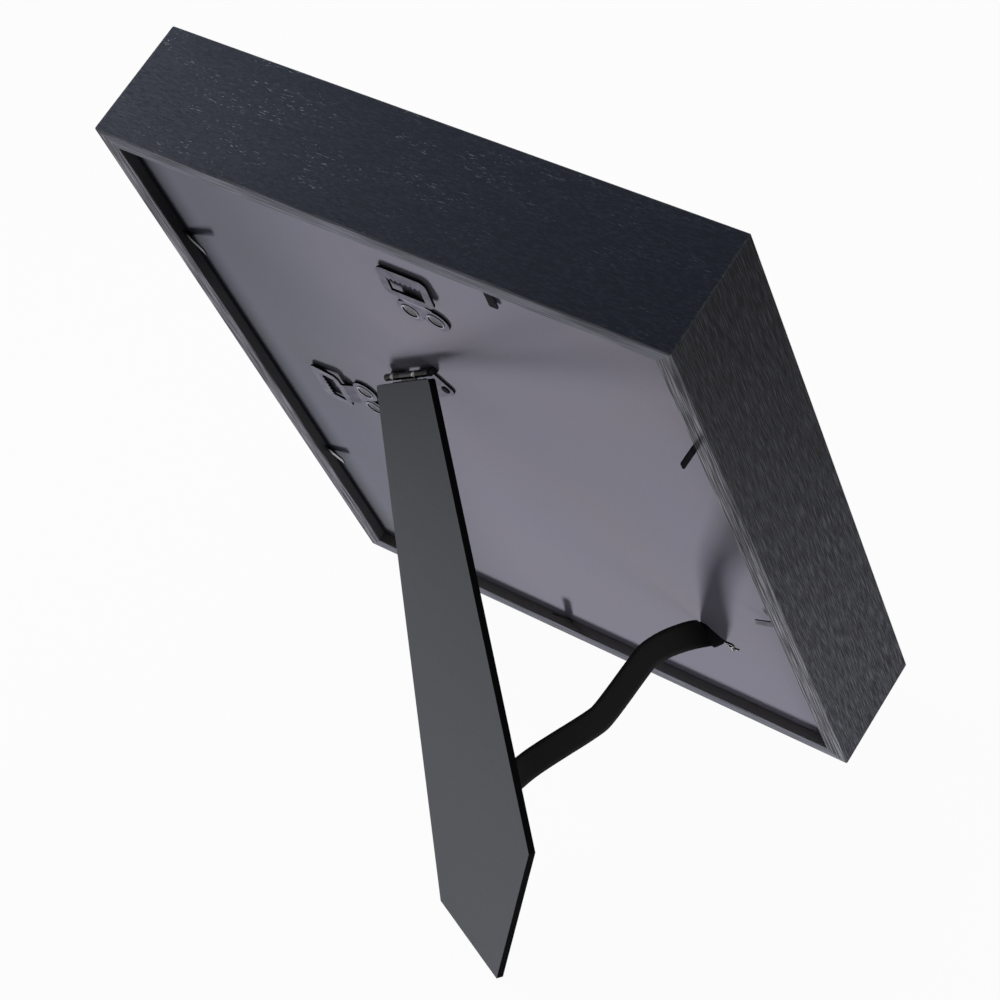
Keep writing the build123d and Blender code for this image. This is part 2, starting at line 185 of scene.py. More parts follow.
print("helpers maths, vectors, ramp and noise")

# %% [markdown]
# ## Shared effects
# Several finishes need the same few effects, so each is a node group. `frame axes` turns a point of the leaning
# frame into millimetres across, out and up. `grain` stretches noise along one direction into pores or fibres.
# `edge distance` tells how far a point of the outer box is from its nearest edge, which is where stain rubs off.
# `board fibre` is the soft mottle of paper-faced board, and `metal wear` the scratches of stamped steel.

# %% Group: frame axes
TO_MM = 1000.0
VECTOR, NUMBER = "NodeSocketVector", "NodeSocketFloat"


def new_group(name, inputs, outputs):
    """An empty node group with these sockets, what it is given, and the places for its results."""
    group = bpy.data.node_groups.new(name, "ShaderNodeTree")
    for way, sockets in (("INPUT", inputs), ("OUTPUT", outputs)):
        for label, kind in sockets.items():
            group.interface.new_socket(label, in_out=way, socket_type=kind)
    return group, group.nodes.new("NodeGroupInput").outputs, group.nodes.new("NodeGroupOutput").inputs


def hand_out(group, sockets, results):
    """Link each result to the group's output of that name."""
    for label, value in results.items():
        group.links.new(value, sockets[label])
    print("group", group.name, "gives", ", ".join(results))


axes_group, axes_in, axes_out = new_group("frame axes", {"Vector": VECTOR}, {"Vector": VECTOR})
straightened = put(
    axes_group, "ShaderNodeVectorRotate",
    {"Vector": axes_in["Vector"], "Center": tuple(back_corner), "Angle": lean},
    rotation_type="X_AXIS",
)["Vector"]
from_corner = vectors(axes_group, "SUBTRACT", straightened, tuple(back_corner))
in_mm = vectors(axes_group, "MULTIPLY", from_corner, (TO_MM, TO_MM, TO_MM))
hand_out(axes_group, axes_out, {"Vector": in_mm})

# %% Group: grain
grain_group, grain_in, grain_out = new_group(
    "grain",
    {"Vector": VECTOR, "Length": NUMBER, "Width": NUMBER, "Low": NUMBER, "High": NUMBER},
    {"Mask": NUMBER, "Raw": NUMBER},
)
stretch = put(
    grain_group, "ShaderNodeCombineXYZ", {"X": grain_in["Length"], "Y": grain_in["Width"], "Z": grain_in["Width"]},
)["Vector"]
along_grain = vectors(grain_group, "DIVIDE", grain_in["Vector"], stretch)
grain_raw = noise(grain_group, along_grain, detail=2.0, roughness=0.55)
grain_mask = ramp(grain_group, grain_raw, grain_in["Low"], grain_in["High"])
hand_out(grain_group, grain_out, {"Mask": grain_mask, "Raw": grain_raw})

# %% Group: edge distance
HALF_WIDTH_MM, HALF_HEIGHT_MM = FRAME_WIDTH * TO_MM / 2, FRAME_HEIGHT * TO_MM / 2
edge_group, edge_in, edge_out = new_group(
    "edge distance", {"Vector": VECTOR}, {"Edge": NUMBER, "Inset": NUMBER, "Out": NUMBER},
)
split_axes = put(edge_group, "ShaderNodeSeparateXYZ", {"Vector": edge_in["Vector"]})
from_side = maths(edge_group, "SUBTRACT", HALF_WIDTH_MM, maths(edge_group, "ABSOLUTE", split_axes["X"]))
from_middle = maths(edge_group, "ABSOLUTE", maths(edge_group, "SUBTRACT", split_axes["Z"], HALF_HEIGHT_MM))
from_end = maths(edge_group, "SUBTRACT", HALF_HEIGHT_MM, from_middle)
from_back = maths(edge_group, "MULTIPLY", split_axes["Y"], -1.0)
from_front = maths(edge_group, "ADD", split_axes["Y"], FRAME_DEPTH * TO_MM)
inset = maths(edge_group, "MINIMUM", from_side, from_end)
to_face = maths(edge_group, "MINIMUM", from_back, from_front)
nearest_pair = maths(
    edge_group, "MINIMUM",
    maths(edge_group, "MAXIMUM", from_side, from_end), maths(edge_group, "MAXIMUM", inset, to_face),
)
hand_out(edge_group, edge_out, {"Edge": nearest_pair, "Inset": inset, "Out": split_axes["Y"]})

# %% Group: board fibre
board_group, board_in, board_out = new_group(
    "board fibre",
    {"Vector": VECTOR, "Fibre": NUMBER, "Cloud": NUMBER},
    {"Fibre": NUMBER, "Cloud": NUMBER},
)
fibre = noise(board_group, board_in["Vector"], maths(board_group, "DIVIDE", 1.0, board_in["Fibre"]))
cloud = noise(board_group, board_in["Vector"], maths(board_group, "DIVIDE", 1.0, board_in["Cloud"]), roughness=0.5)
hand_out(board_group, board_out, {"Fibre": fibre, "Cloud": cloud})

# %% Group: metal wear
SCRATCH_STRETCH, STAIN_SCALE = (0.15, 1.0, 1.0), 0.35
metal_group, metal_in, metal_out = new_group(
    "metal wear", {"Vector": VECTOR, "Grain": NUMBER}, {"Scratch": NUMBER, "Stain": NUMBER},
)
drawn = vectors(metal_group, "MULTIPLY", metal_in["Vector"], SCRATCH_STRETCH)
scratch = noise(metal_group, drawn, maths(metal_group, "DIVIDE", 1.0, metal_in["Grain"]))
stain = noise(metal_group, metal_in["Vector"], STAIN_SCALE)
hand_out(metal_group, metal_out, {"Scratch": scratch, "Stain": stain})

# %% [markdown]
# ## Black-stained wood
# The rails are open-pored wood stained almost black, with a blue cast. Where light catches in the pores, short pale
# dashes along each rail are painted as highlights, fewer toward the left rail as painted falloff of the light. On
# the narrow rim at the back the stain is thinner, so it is a lighter grey, and inside the rim the wall is dull and
# brownish. The lying and upright rails are one wood, but their tones are set apart to the light each one gets, so
# that difference is painted light and shade. A picture of wood could be wrapped round each rail, but noise
# stretched along the rail keeps its scale on every face and meets at the mitres as real rails do: two grains at an
# angle.

# %% Helpers for materials
# Places of the colours among the Mix node's sockets, several of which share one name
MIX_FIRST, MIX_SECOND, MIX_RESULT = 6, 7, 2


def new_material(name):
    """A material with one Principled shader, returned with its tree and that shader."""
    material = bpy.data.materials.new(name)
    material.use_nodes = True
    tree = material.node_tree
    return material, tree, tree.nodes["Principled BSDF"]


def use(tree, group, values):
    """Place a node group in a material, and return its outputs."""
    return put(tree, "ShaderNodeGroup", values, node_tree=group)


def places(tree):
    """A material's texture coordinates, and its point in the frame's own axes in millimetres."""
    coordinates = put(tree, "ShaderNodeTexCoord")
    return coordinates, use(tree, axes_group, {"Vector": coordinates["Object"]})["Vector"]


def mix(tree, factor, first, second, blend_type="MIX"):
    """Two colours mixed."""
    values = {"Factor": factor, MIX_FIRST: first, MIX_SECOND: second}
    return put(tree, "ShaderNodeMix", values, data_type="RGBA", blend_type=blend_type)[MIX_RESULT]


def coat(tree, shader, values):
    """Fill the shader's inputs."""
    for label, value in values.items():
        fill(tree, shader.inputs[label], value)


def bump(tree, shader, height, distance, strength=1.0):
    """Relief as deep as distance, in metres, where height goes from 0 to 1."""
    values = {"Height": height, "Distance": distance, "Strength": strength}
    coat(tree, shader, {"Normal": put(tree, "ShaderNodeBump", values)["Normal"]})


print("helpers new_material, use, places, mix, coat and bump")

# %% Tones and grain of the rails
# Painted highlight: the pale tone painted in the pores where light catches; and the tone of worn edges
PORE_HIGHLIGHT_TONE, EDGE_TONE = (0.25, 0.27, 0.31, 1), (0.16, 0.165, 0.18, 1)
# The two looks are one wood: their dark, light, rim and wall tones differ as painted light and shade, each set to
# how bright that rail is in its light
# Grain has a length and a width in millimetres, and noise values where a mark starts and where it is full
LYING_LOOK = {
    "dark": (0.022, 0.027, 0.042, 1), "light": (0.042, 0.051, 0.076, 1),
    "pores": {"Length": 2.6, "Width": 0.34, "Low": 0.625, "High": 0.685},
    "streaks": {"Length": 2.2, "Width": 0.5, "Low": 0.43, "High": 0.68},
    "streak_share": 0.5, "relief": 0.5,
    "rim_dark": (0.102, 0.103, 0.12, 1), "rim_light": (0.21, 0.211, 0.247, 1), "wall": (0.15, 0.14, 0.145, 1),
}
UPRIGHT_LOOK = {
    "dark": (0.016, 0.016, 0.0195, 1), "light": (0.076, 0.078, 0.093, 1),
    "pores": {"Length": 2.2, "Width": 0.35, "Low": 0.72, "High": 0.78},
    "streaks": {"Length": 10.0, "Width": 0.28, "Low": 0.43, "High": 0.68},
    "streak_share": 1.0, "relief": 0.3,
    "rim_dark": (0.062, 0.062, 0.07, 1), "rim_light": (0.25, 0.25, 0.278, 1), "wall": (0.045, 0.045, 0.05, 1),
}
RIM_LINES = {"Length": 24.0, "Width": 0.42, "Low": 0.42, "High": 0.66}
FIGURE = {"Length": 40.0, "Width": 9.0}
# Steps in millimetres: out of the back, in from the side, and away from the nearest edge
RIM_STEP, WALL_STEP, WORN_STEP = (-0.5, -0.25), (6.6, 6.9), (0.75, 0.1)
# Steps in noise, and the amounts they go between
FIGURE_STEP, RUB_STEP, WOOD_ROUGH = (0.4, 0.62, 0.05, 0.9), (0.35, 0.7, 0.0, 0.4), (0.3, 0.7, 0.5, 0.65)
# The painted pore highlights fade toward the left rail, as painted falloff of light
PORE_HIGHLIGHT_FADE = (-HALF_WIDTH_MM, 50.0, 0.25, 1.0)
RUB_STRETCH = (0.12, 0.8, 0.8)
WOOD_GLOSS, RIM_GLOSS = 0.06, 0.0
STREAK_RELIEF, RIM_RELIEF, RELIEF_DEPTH = 1.2, 0.1, 0.00012
print("looks for lying and upright rails")

# %% Wood for the rails


def rail_wood(name, upright, look):
    """Stained wood whose grain runs across, or up along the frame for an upright rail."""
    material, tree, shader = new_material(name)
    in_frame = places(tree)[1]
    parts = put(tree, "ShaderNodeSeparateXYZ", {"Vector": in_frame})
    order = ("Z", "X", "Y") if upright else ("X", "Z", "Y")
    reordered = {axis: parts[part] for axis, part in zip("XYZ", order)}
    grain_place = {"Vector": put(tree, "ShaderNodeCombineXYZ", reordered)["Vector"]}
    pores = use(tree, grain_group, {**grain_place, **look["pores"]})
    streaks = use(tree, grain_group, {**grain_place, **look["streaks"]})
    lines = use(tree, grain_group, {**grain_place, **RIM_LINES})
    figure = use(tree, grain_group, {**grain_place, **FIGURE})
    where = use(tree, edge_group, {"Vector": in_frame})

    streak_amount = maths(tree, "MULTIPLY", streaks["Mask"], look["streak_share"])
    colour = mix(tree, streak_amount, look["dark"], look["light"])
    # Painted highlights: pale dashes in the pores, fading toward the left rail as painted falloff of light
    pore_highlight = maths(tree, "MULTIPLY", pores["Mask"], ramp(tree, figure["Raw"], *FIGURE_STEP))
    pore_highlight = maths(tree, "MULTIPLY", pore_highlight, ramp(tree, parts["X"], *PORE_HIGHLIGHT_FADE))
    colour = mix(tree, pore_highlight, colour, PORE_HIGHLIGHT_TONE)
    on_rim = ramp(tree, where["Out"], *RIM_STEP)
    colour = mix(tree, on_rim, colour, mix(tree, lines["Mask"], look["rim_dark"], look["rim_light"]))
    below_rim = maths(tree, "SUBTRACT", 1.0, on_rim)
    in_wall = maths(tree, "MULTIPLY", ramp(tree, where["Inset"], *WALL_STEP), below_rim)
    colour = mix(tree, in_wall, colour, look["wall"])
    rub = ramp(tree, noise(tree, vectors(tree, "MULTIPLY", grain_place["Vector"], RUB_STRETCH)), *RUB_STEP)
    worn = maths(tree, "MULTIPLY", ramp(tree, where["Edge"], *WORN_STEP), rub)
    coat(tree, shader, {
        "Base Color": mix(tree, worn, colour, EDGE_TONE),
        "Roughness": ramp(tree, pores["Raw"], *WOOD_ROUGH),
        "Specular IOR Level": ramp(tree, on_rim, 0.0, 1.0, WOOD_GLOSS, RIM_GLOSS),
    })

    raised = maths(tree, "MULTIPLY", streaks["Raw"], STREAK_RELIEF)
    relief = maths(tree, "ADD", maths(tree, "MULTIPLY", pores["Mask"], -1.0), raised)
    relief = maths(tree, "MULTIPLY", relief, ramp(tree, on_rim, 0.0, 1.0, look["relief"], RIM_RELIEF))
    bump(tree, shader, relief, RELIEF_DEPTH)
    return material


lying_wood = rail_wood("lying_rail_wood", False, LYING_LOOK)
upright_wood = rail_wood("upright_rail_wood", True, UPRIGHT_LOOK)
print("wood materials", lying_wood.name, upright_wood.name)

# %% [markdown]
# ## Rails
# Each rail has an L section: a thin wall with a lip in front that holds the glass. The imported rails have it
# already, with plain chamfers. Here each section gets softly rounded corners, and is run from one mitre to the
# other, so the corners show as a fine seam. A section point that lies further in ends earlier by just as much:
# that makes the 45 degree mitre without any cutting. `new_piece` turns points and faces into an object with
# smooth faces and crisp edges.

# %% Rail section
LIP_WIDTH, LIP_THICKNESS = 0.0140, 0.0060
SOFT_EDGE, RIM_EDGE = 0.0007, 0.0003
REBATE = FRAME_DEPTH - LIP_THICKNESS


def round_corners(corners, steps=4):
    """Points of an outline whose corners (x, y, radius) are rounded; radius 0 stays sharp."""
    points = []
    for index, (x, y, radius) in enumerate(corners):
        here = Vector((x, y))
        if not radius:
            points.append(here)
            continue
        before = (Vector(corners[index - 1][:2]) - here).normalized()
        after = (Vector(corners[(index + 1) % len(corners)][:2]) - here).normalized()
        half = before.angle(after) / 2
        centre = here + (before + after).normalized() * radius / math.sin(half)
        first = here + before * radius / math.tan(half) - centre
        last = here + after * radius / math.tan(half) - centre
        for step in range(steps + 1):
            share = step / steps
            arm = (first * (1 - share) + last * share).normalized() * radius
            points.append(centre + arm)
    return points


rail_section = round_corners([
    (0.0, 0.0, SOFT_EDGE),
    (RIM_WIDTH, 0.0, RIM_EDGE),
    (RIM_WIDTH, -REBATE, 0),
    (LIP_WIDTH, -REBATE, RIM_EDGE),
    (LIP_WIDTH, -FRAME_DEPTH, SOFT_EDGE),
    (0.0, -FRAME_DEPTH, SOFT_EDGE),
])
print("section points", len(rail_section))

# %% Rails with rounded edges
CRISP_ANGLE = math.radians(38)


def new_piece(name, points, faces, material, body):
    """A mesh piece that rides on a body."""
    mesh = bpy.data.meshes.new(name)
    mesh.from_pydata([tuple(p) for p in points], [], faces)
    work = bmesh.new()
    work.from_mesh(mesh)
    bmesh.ops.recalc_face_normals(work, faces=work.faces)
    work.to_mesh(mesh)
    work.free()
    mesh.polygons.foreach_set("use_smooth", [True] * len(mesh.polygons))
    mesh.set_sharp_from_angle(angle=CRISP_ANGLE)
    mesh.materials.append(material)
    piece = bpy.data.objects.new(name, mesh)
    bpy.context.scene.collection.objects.link(piece)
    if body:
        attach(piece, body)
    return piece


rail_places = {
    "top": lambda along, inward, out: stand(along, out, FRAME_HEIGHT - inward),
    "bottom": lambda along, inward, out: stand(along, out, inward),
    "right": lambda along, inward, out: stand(FRAME_WIDTH / 2 - inward, out, FRAME_HEIGHT / 2 + along),
    "left": lambda along, inward, out: stand(inward - FRAME_WIDTH / 2, out, FRAME_HEIGHT / 2 + along),
}
for side, place in rail_places.items():
    upright = side in ("right", "left")
    half_length = (FRAME_HEIGHT if upright else FRAME_WIDTH) / 2
    count = len(rail_section)
    points = []
    for end in (-1, 1):
        for inward, out in rail_section:
            points.append(place(end * (half_length - inward), inward, out))
    faces = [(i, (i + 1) % count, (i + 1) % count + count, i + count) for i in range(count)]
    faces += [tuple(range(count)), tuple(range(count, 2 * count))]
    wood = upright_wood if upright else lying_wood
    new_piece(f"{side}_rail_wood", points, faces, wood, "frame")
    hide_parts(f"{side}_rail")

# %% [markdown]
# ## Backing board and strut board
# Both boards are thin fibreboard faced with grey paper. The paper has a soft mottle and fine fibres, and the panel
# has faint brownish clouds where it was handled. Shade is painted on the panel: one side is painted a cooler,
# deeper grey where less light falls, and a painted shadow lies along the rail there. The strut is darker, and its
# sawn edges are black. Edges could be faces with a material of their own, but here the edge is told from the face
# by its normal, taken in the board's own space so that it turns with it. `dress` gives a imported piece its
# material, and eases its sharp edges with a small bevel.

# %% Tones of the boards
PANEL_TONE = (0.158, 0.154, 0.197, 1)
PANEL_WARM = (0.166, 0.153, 0.181, 1)
PANEL_PALE = (0.186, 0.182, 0.225, 1)
STRUT_TONE = (0.097, 0.101, 0.113, 1)
STRUT_PALE = (0.12, 0.125, 0.137, 1)
SAWN_EDGE = (0.006, 0.006, 0.007, 1)
# Painted shade: tones that the panel's colour is multiplied by, for its shaded side and for the painted shadow
# along the rail, and where across, in millimetres, they start and are full
PAINTED_SIDE_SHADE, PAINTED_RAIL_SHADOW = (0.635, 0.68, 0.695, 1), (0.12, 0.12, 0.13, 1)
SHADE_STEP, RAIL_SHADOW_STEP = (10.0, 85.0), (88.0, 104.0)
# Steps in noise, for the roughness with the amounts it goes between, and the turn from a face to an edge
WARM_STEP, PALE_STEP, PAPER_ROUGH = (0.35, 0.7), (0.4, 0.75), (0.3, 0.7, 0.75, 0.9)
SAWN_TURN = (0.9, 0.5)
CLOUD_SIZE, PAPER_GLOSS = 60.0, 0.01
PAPER_DEPTH, PAPER_STRENGTH = 0.00004, 0.6
print("tones for panel and strut")

# %% Board finish


def board(name, tone, pale, warm, face_way, fibre_size, with_painted_shade=False):
    """Paper-faced board; faces along face_way show paper, and the rest are sawn edges."""
    material, tree, shader = new_material(name)
    coordinates, in_frame = places(tree)
    fibres = use(tree, board_group, {"Vector": in_frame, "Fibre": fibre_size, "Cloud": CLOUD_SIZE})
    paper = mix(tree, ramp(tree, fibres["Cloud"], *WARM_STEP), tone, warm)
    paper = mix(tree, ramp(tree, fibres["Fibre"], *PALE_STEP), paper, pale)
    if with_painted_shade:
        # Painted shade: one side darker and cooler, and a painted shadow of the rail along that side's edge
        across = put(tree, "ShaderNodeSeparateXYZ", {"Vector": in_frame})["X"]
        paper = mix(tree, ramp(tree, across, *SHADE_STEP), paper, PAINTED_SIDE_SHADE, "MULTIPLY")
        paper = mix(tree, ramp(tree, across, *RAIL_SHADOW_STEP), paper, PAINTED_RAIL_SHADOW, "MULTIPLY")
    facing = maths(tree, "ABSOLUTE", vectors(tree, "DOT_PRODUCT", coordinates["Normal"], tuple(face_way)))
    coat(tree, shader, {
        "Base Color": mix(tree, ramp(tree, facing, *SAWN_TURN), paper, SAWN_EDGE),
        "Roughness": ramp(tree, fibres["Fibre"], *PAPER_ROUGH),
        "Specular IOR Level": PAPER_GLOSS,
    })
    bump(tree, shader, fibres["Fibre"], PAPER_DEPTH, PAPER_STRENGTH)
    return material


panel_board = board("panel_board", PANEL_TONE, PANEL_PALE, PANEL_WARM, back_out, fibre_size=0.5, with_painted_shade=True)
strut_board = board("strut_board", STRUT_TONE, STRUT_PALE, STRUT_TONE, strut_out, fibre_size=0.35)
print("boards", panel_board.name, strut_board.name)

# %% Dress the boards
EASE_ANGLE = math.radians(35)


def dress(node, material, ease=0.0, steps=2):
    """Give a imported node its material, and ease its sharp edges by this width in metres."""
    piece = nodes[node]
    piece.data.materials.clear()
    piece.data.materials.append(material)
    if ease:
        bevel = piece.modifiers.new("ease", "BEVEL")
        bevel.width = ease
        bevel.segments = steps
        bevel.limit_method = "ANGLE"
        bevel.angle_limit = EASE_ANGLE


dress("back_panel", panel_board, ease=0.0002)
dress("strut", strut_board, ease=0.0003, steps=3)
print("dressed back_panel and strut")

# %% [markdown]
# ## Stamped steel
# The hinge, the hangers, their eyelets and the tabs are thin stamped steel. The hangers and the hinge's fixed leaf
# are dull grey, close to the panel's own tone, and their cut edges are painted black as shade. The eyelets are
# paler; inside their recess they are painted paler still as light, with a painted shadow, a dark crescent, on the
# side that light doesn't reach. The hinge barrel is black and shiny, with two painted highlights. The tabs are
# blackened: two still shine, and one is painted grey as if lit. Each could have a graph of its own, but one
# function makes them all, each with its own tones and gloss, so that they wear alike.

# %% Tones of the steel
STEEL_BLACK = (0.012, 0.012, 0.014, 1)
HANGER_TONES = (0.135, 0.133, 0.165, 1), (0.185, 0.182, 0.22, 1)
EYELET_TONES = (0.24, 0.238, 0.28, 1), (0.33, 0.326, 0.38, 1)
HINGE_TONES = (0.012, 0.012, 0.014, 1), (0.025, 0.025, 0.028, 1)
TAB_TONES = (0.014, 0.014, 0.016, 1), (0.024, 0.024, 0.027, 1)
# Painted light: the grey of a tab painted as if lit
PAINTED_LIT_TAB_TONES = (0.12, 0.118, 0.135, 1), (0.2, 0.197, 0.22, 1)
# Painted light: the pale inside of an eyelet's recess, and the colour of the barrel's painted highlights
PAINTED_RECESS_LIGHT, PAINTED_HIGHLIGHT = (0.52, 0.516, 0.55, 1), (0.85, 0.85, 0.87, 1)
# Roughness where the scratches are glossy and where they are matt
DULL, RUBBED, SHINY, POLISHED = (0.6, 0.75), (0.5, 0.65), (0.25, 0.4), (0.16, 0.3)
BLACK_ROUGH_SHARE = 0.35
SCRATCH_SIZE, WEAR_STEP = 0.4, (0.3, 0.7)
SCRATCH_DEPTH, SCRATCH_STRENGTH = 0.00002, 0.5
print("tones for hangers, hinge and tabs")

# %% Places on the steel
# Heights in millimetres out of the rim: where a sheet starts to be black, and how soon it is quite black
ALL_BRIGHT, LEAF_TOP, BLACK_FADE = 0.0, -2.7, 0.25
# Painted shade: how far a face turns from the back before it is painted black as a shaded cut edge
SHADED_EDGE_TURN = (0.8, 0.4)
# Heights where an eyelet's recess is painted pale as light, and between which its dark crescent of painted shadow
# lies
RECESS_STEP, CRESCENT_FLOOR, CRESCENT_TOP = (-2.55, -2.8), (-2.9, -2.8), (-2.47, -2.55)
CRESCENT_TURN, SHADE_ACROSS, SHADE_UP = (0.04, 0.14), -1.2, 2.25
shade_way = (Vector((SHADE_ACROSS, 0, 0)) + back_up * SHADE_UP).normalized()
# Painted highlights on the side of the barrel that faces the camera: places along the pin, and distances where a
# highlight starts and is full
BARREL_RADIUS, HIGHLIGHT_PLACES, HIGHLIGHT_STEP = 0.0013, (-0.0103, 0.0055), (0.0015, 0.0006)
to_eye = EYE - pin_middle
barrel_top = (to_eye - pin_way * to_eye.dot(pin_way)).normalized() * BARREL_RADIUS
painted_barrel_highlights = [pin_middle + pin_way * along + barrel_top for along in HIGHLIGHT_PLACES]
print("worn spots", len(painted_barrel_highlights))

# %% Steel finish


def steel(name, tones, rough, metallic=0.0, shine=0.0, black_from=None, black_shine=0.0, recess=False, spots=()):
    """Stamped steel between two tones by its stains, and between two roughnesses by its scratches.

    With black_from, only the sheet's face is bright: its cut edges are painted black as shade, and all that stands
    out of the back further than that many millimetres from the rim is blackened. A recess is painted paler inside
    as light, with a dark crescent of painted shadow, and spots are painted highlights.
    """
    material, tree, shader = new_material(name)
    coordinates, in_frame = places(tree)
    out = put(tree, "ShaderNodeSeparateXYZ", {"Vector": in_frame})["Y"]
    wear = use(tree, metal_group, {"Vector": in_frame, "Grain": SCRATCH_SIZE})
    colour = mix(tree, ramp(tree, wear["Stain"], *WEAR_STEP), *tones)
    matt = ramp(tree, wear["Scratch"], *WEAR_STEP, *rough)
    # Painted light and shade: the recess is painted pale, and a dark crescent is painted on the wall that light
    # doesn't reach
    if recess:
        colour = mix(tree, ramp(tree, out, *RECESS_STEP), colour, PAINTED_RECESS_LIGHT)
        turned_off = vectors(tree, "DOT_PRODUCT", coordinates["Normal"], tuple(shade_way))
        ring = maths(tree, "MULTIPLY", ramp(tree, out, *CRESCENT_FLOOR), ramp(tree, out, *CRESCENT_TOP))
        painted_crescent_shade = maths(tree, "MULTIPLY", ring, ramp(tree, turned_off, *CRESCENT_TURN))
        colour = mix(tree, painted_crescent_shade, colour, STEEL_BLACK)
    # Painted shade: cut edges are painted black; what stands out further than black_from is blackened
    if black_from is not None:
        facing = vectors(tree, "DOT_PRODUCT", coordinates["Normal"], tuple(back_out))
        proud = ramp(tree, out, black_from, black_from + BLACK_FADE)
        black = maths(tree, "MAXIMUM", ramp(tree, facing, *SHADED_EDGE_TURN), proud)
        colour = mix(tree, black, colour, STEEL_BLACK)
        if black_shine:
            shine = ramp(tree, black, 0.0, 1.0, shine, black_shine)
            matt = maths(tree, "MULTIPLY", matt, ramp(tree, black, 0.0, 1.0, 1.0, BLACK_ROUGH_SHARE))
    # Painted highlights: bright spots painted on the barrel where it faces the camera
    for spot in spots:
        away = vectors(tree, "DISTANCE", coordinates["Object"], tuple(spot))
        colour = mix(tree, ramp(tree, away, *HIGHLIGHT_STEP), colour, PAINTED_HIGHLIGHT)
    coat(tree, shader, {
        "Base Color": colour, "Roughness": matt, "Metallic": metallic, "Specular IOR Level": shine,
    })
    bump(tree, shader, wear["Scratch"], SCRATCH_DEPTH, SCRATCH_STRENGTH)
    return material


hanger_steel = steel("hanger_steel", HANGER_TONES, DULL, black_from=ALL_BRIGHT)
eyelet_steel = steel("eyelet_steel", EYELET_TONES, DULL, recess=True)
leaf_steel = steel(
    "leaf_steel", HANGER_TONES, RUBBED, black_from=LEAF_TOP, black_shine=0.12, spots=painted_barrel_highlights,
)
hinge_steel = steel("hinge_steel", HINGE_TONES, POLISHED, metallic=0.5, shine=0.5, spots=painted_barrel_highlights)
tab_steel = steel("tab_steel", TAB_TONES, RUBBED)
shiny_tab_steel = steel("shiny_tab_steel", TAB_TONES, SHINY, shine=0.25)
# Painted light: this tab is painted grey as if lit
painted_lit_tab_steel = steel("painted_lit_tab_steel", PAINTED_LIT_TAB_TONES, RUBBED)
print("steel materials", sum("steel" in material.name for material in bpy.data.materials))

# %% Dress the metal
HANGER_EASE, LEAF_EASE, FINE_EASE = 0.00022, 0.00012, 0.0001
for node in ("portrait_hanger", "landscape_hanger"):
    dress(node, hanger_steel, HANGER_EASE, steps=3)
dress("hanger_eyelets", eyelet_steel, FINE_EASE)
dress("hinge_fixed_leaf", leaf_steel, LEAF_EASE)
for node in ("hinge_moving_leaf", "hinge_pin"):
    dress(node, hinge_steel, FINE_EASE)
for node in ("tab_roots", "ribbon_staple", "panel_leaf_rivets", "strut_leaf_rivets"):
    dress(node, tab_steel)
for node in ("top_tab", "bottom_tab", "upper_left_tab"):
    dress(node, tab_steel, FINE_EASE)
for node in ("upper_right_tab", "lower_right_tab"):
    dress(node, shiny_tab_steel, FINE_EASE)
# Painted light: this tab is painted grey as if lit
dress("lower_left_tab", painted_lit_tab_steel, FINE_EASE)
print("dressed hangers, hinge and tabs")

# %% [markdown]
# ## Glass, mat, print and spacers
# The front is hidden in the photograph. Behind the glass lie black spacer strips, a plain off-white mat and an
# empty sheet of paper. The sheet could show a picture, but a blank one leaves room for any. Paper and mat are the
# boards' own mottle in pale tones, without sawn edges.

# %% Paper and mat


def card(name, tones, mottle, sizes, rough, relief):
    """Plain paper or card whose tone follows one of the board effects, Fibre or Cloud."""
    material, tree, shader = new_material(name)
    fibres = use(tree, board_group, {"Vector": places(tree)[1], **sizes})
    coat(tree, shader, {"Base Color": mix(tree, fibres[mottle], *tones), "Roughness": rough})
    bump(tree, shader, fibres["Fibre"], *relief)
    return material


PAPER_TONES = (0.66, 0.64, 0.6, 1), (0.74, 0.72, 0.68, 1)
MAT_TONES = (0.76, 0.75, 0.71, 1), (0.85, 0.84, 0.8, 1)
paper = card(
    "print_paper", PAPER_TONES, "Cloud", sizes={"Fibre": 0.4, "Cloud": 80.0}, rough=0.55, relief=(0.00002, 0.4),
)
mat = card(
    "mat_card", MAT_TONES, "Fibre", sizes={"Fibre": 0.7, "Cloud": 60.0}, rough=0.8, relief=(0.00006, 0.6),
)
dress("print_sheet", paper)
dress("mat_board", mat, ease=0.0001)
print("dressed print_sheet and mat_board")

# %% Spacers and glass
STRIP_TONE, STRIP_PALE = (0.012, 0.012, 0.013, 1), (0.025, 0.025, 0.027, 1)
strip_black = board("spacer_black", STRIP_TONE, STRIP_PALE, STRIP_TONE, back_up, fibre_size=0.4)
for node in ("top_spacer", "bottom_spacer", "left_spacer", "right_spacer"):
    dress(node, strip_black, ease=0.0002)
glass, glass_tree, glass_shader = new_material("picture_glass")
coat(glass_tree, glass_shader, {
    "Base Color": (0.97, 0.99, 0.985, 1), "Roughness": 0.02, "Transmission Weight": 1.0, "IOR": 1.45,
})
dress("glass", glass, ease=0.0003)
print("dressed spacers and glass")

# %% [markdown]
# ## Ribbon
# The stay is a black satin ribbon on edge. It leaves a slit in the panel, bows upward, bends twice and runs on to
# the strut's inner face. Cloth physics could let it hang, but the photograph's own bends are wanted, so its course
# is drawn as a NURBS line, where two points close together make a tight bend. A thin strip with rounded selvedges
# follows that line. A few threads have come loose at the slit.

